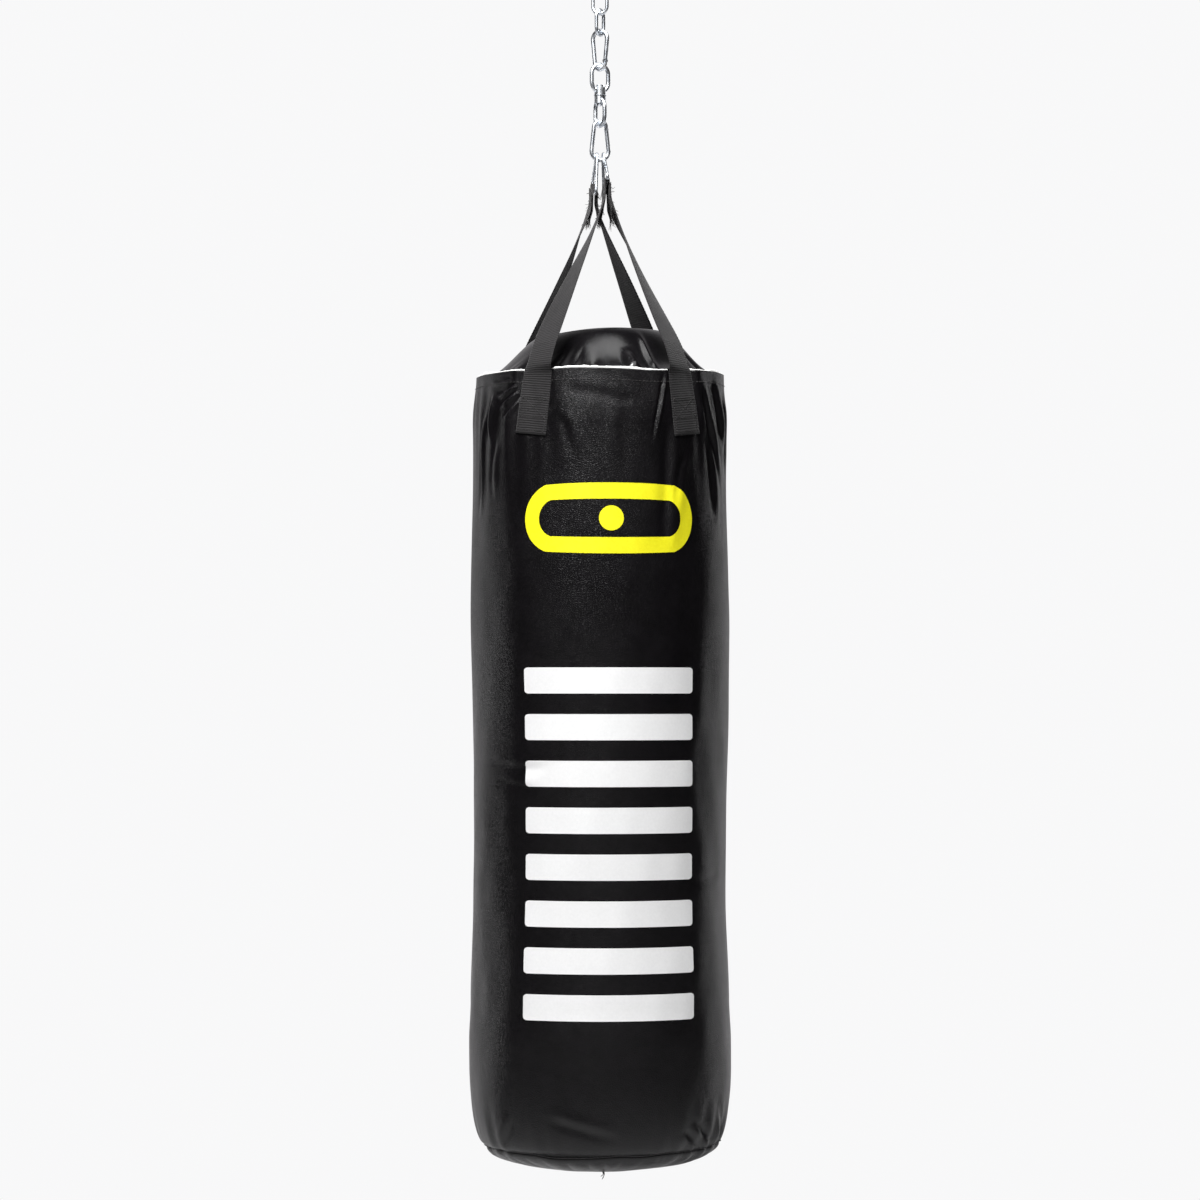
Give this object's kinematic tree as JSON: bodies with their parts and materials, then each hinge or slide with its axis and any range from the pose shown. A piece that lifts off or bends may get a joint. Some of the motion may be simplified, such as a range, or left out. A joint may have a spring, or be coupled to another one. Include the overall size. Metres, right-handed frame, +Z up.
{
  "type": "hanging punching bag",
  "caption": "Filled cylindrical punching bag hung by sewn webbing straps, rings, snap hooks, a swivel and a short chain from a ceiling plate.",
  "frame": {"origin": "centre of the ceiling plate's upper face", "axes": "+Z up, out of the ceiling plate's upper face; -Y is the bag's printed front; +X to the right of a person facing the print"},
  "size_m": [0.3559, 0.356, 1.7076],
  "materials": {
    "zinc_plate": "satin",
    "webbing": "matte",
    "vinyl": "satin",
    "gloss_vinyl": "gloss",
    "vinyl_backing": "matte",
    "thread": "matte",
    "padding": "matte"
  },
  "bodies": {
    "ceiling_mount": {"ceiling_plate": "zinc_plate", "ceiling_eye": "zinc_plate"},
    "link_1": {"chain_link_1": "zinc_plate"},
    "link_2": {"chain_link_2": "zinc_plate"},
    "link_3": {"chain_link_3": "zinc_plate"},
    "upper_hook": {"upper_hook_frame": "zinc_plate", "upper_hook_pin": "zinc_plate"},
    "upper_gate": {"upper_hook_gate": "zinc_plate", "upper_gate_rivet": "zinc_plate"},
    "swivel_upper": {"swivel_upper_eye": "zinc_plate", "swivel_washer": "zinc_plate"},
    "swivel_lower": {"swivel_stud": "zinc_plate", "swivel_lower_eye": "zinc_plate"},
    "lower_hook": {"lower_hook_frame": "zinc_plate", "lower_hook_pin": "zinc_plate"},
    "lower_gate": {"lower_hook_gate": "zinc_plate", "lower_gate_rivet": "zinc_plate"},
    "bag": {"front_ring": "zinc_plate", "rear_ring": "zinc_plate", "front_loop": "webbing", "rear_loop": "webbing", "front_left_strap": "webbing", "front_right_strap": "webbing", "rear_left_strap": "webbing", "rear_right_strap": "webbing", "shell": "vinyl", "hem_facing": "vinyl_backing", "hem_thread": "thread", "top_cover": "gloss_vinyl", "bottom_panel": "vinyl", "bottom_thread": "thread", "fill": "padding"}
  },
  "joints": [
    {"name": "link_1_swing", "type": "hinge", "parent": "ceiling_mount", "child": "link_1", "pos_m": [0, 0, -0.042], "axis": [1, 0, 0], "range_deg": [-15, 15]},
    {"name": "link_2_swing", "type": "hinge", "parent": "link_1", "child": "link_2", "pos_m": [0, 0, -0.07015], "axis": [0.342, 0.9397, 0], "range_deg": [-15, 15]},
    {"name": "link_3_swing", "type": "hinge", "parent": "link_2", "child": "link_3", "pos_m": [0, 0, -0.0998], "axis": [0.891, -0.454, 0], "range_deg": [-15, 15]},
    {"name": "upper_hook_swing", "type": "hinge", "parent": "link_3", "child": "upper_hook", "pos_m": [0, 0, -0.12945], "axis": [0.5446, 0.8387, 0], "range_deg": [-15, 15]},
    {"name": "upper_gate_open", "type": "hinge", "parent": "upper_hook", "child": "upper_gate", "pos_m": [0.00677, -0.00568, -0.16631], "axis": [-0.6428, -0.766, 0], "range_deg": [0, 24], "stiffness_Nm_per_rad": 0.05, "springref_deg": -20.05},
    {"name": "swivel_upper_swing", "type": "hinge", "parent": "upper_hook", "child": "swivel_upper", "pos_m": [0, 0, -0.1776], "axis": [0.766, -0.6428, 0], "range_deg": [-15, 15]},
    {"name": "swivel_spin", "type": "hinge", "parent": "swivel_upper", "child": "swivel_lower", "pos_m": [0, 0, -0.21365], "axis": [0, 0, 1], "continuous": true},
    {"name": "lower_hook_swing", "type": "hinge", "parent": "swivel_lower", "child": "lower_hook", "pos_m": [0, 0, -0.25685], "axis": [0.3907, -0.9205, 0], "range_deg": [-15, 15]},
    {"name": "lower_gate_open", "type": "hinge", "parent": "lower_hook", "child": "lower_gate", "pos_m": [0.00881, 0.00077, -0.26179], "axis": [-0.0872, 0.9962, 0], "range_deg": [0, 24], "stiffness_Nm_per_rad": 0.05, "springref_deg": -20.05},
    {"name": "bag_swing", "type": "hinge", "parent": "lower_hook", "child": "bag", "pos_m": [0, 0, -0.3045], "axis": [0.9962, 0.0872, 0], "range_deg": [-15, 15]}
  ]
}
